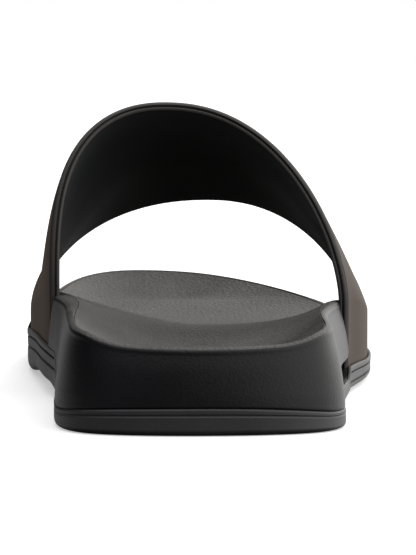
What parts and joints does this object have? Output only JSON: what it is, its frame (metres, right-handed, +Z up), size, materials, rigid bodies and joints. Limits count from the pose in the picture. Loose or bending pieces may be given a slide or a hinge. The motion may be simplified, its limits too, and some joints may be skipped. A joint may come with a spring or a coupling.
{
  "type": "sport slide sandal",
  "caption": "Right-foot slide sandal: one wide moulded band over the instep, contoured footbed, foam midsole with raised heel cup and a rubber outsole with a grooved rand.",
  "frame": {"origin": "on the floor, in the middle of the sole's length and width", "axes": "+Z up, +Y from the heel to the toe, -X to the inner side of the foot"},
  "size_m": [0.1097, 0.282, 0.088],
  "materials": {
    "outsole": "satin moulded",
    "midsole": "fine-grained moulded foam",
    "footbed": "pebbled matt",
    "strap": "satin moulded"
  },
  "bodies": {
    "root": {"outsole": "outsole", "midsole": "midsole", "footbed": "footbed", "strap": "strap"}
  },
  "joints": []
}
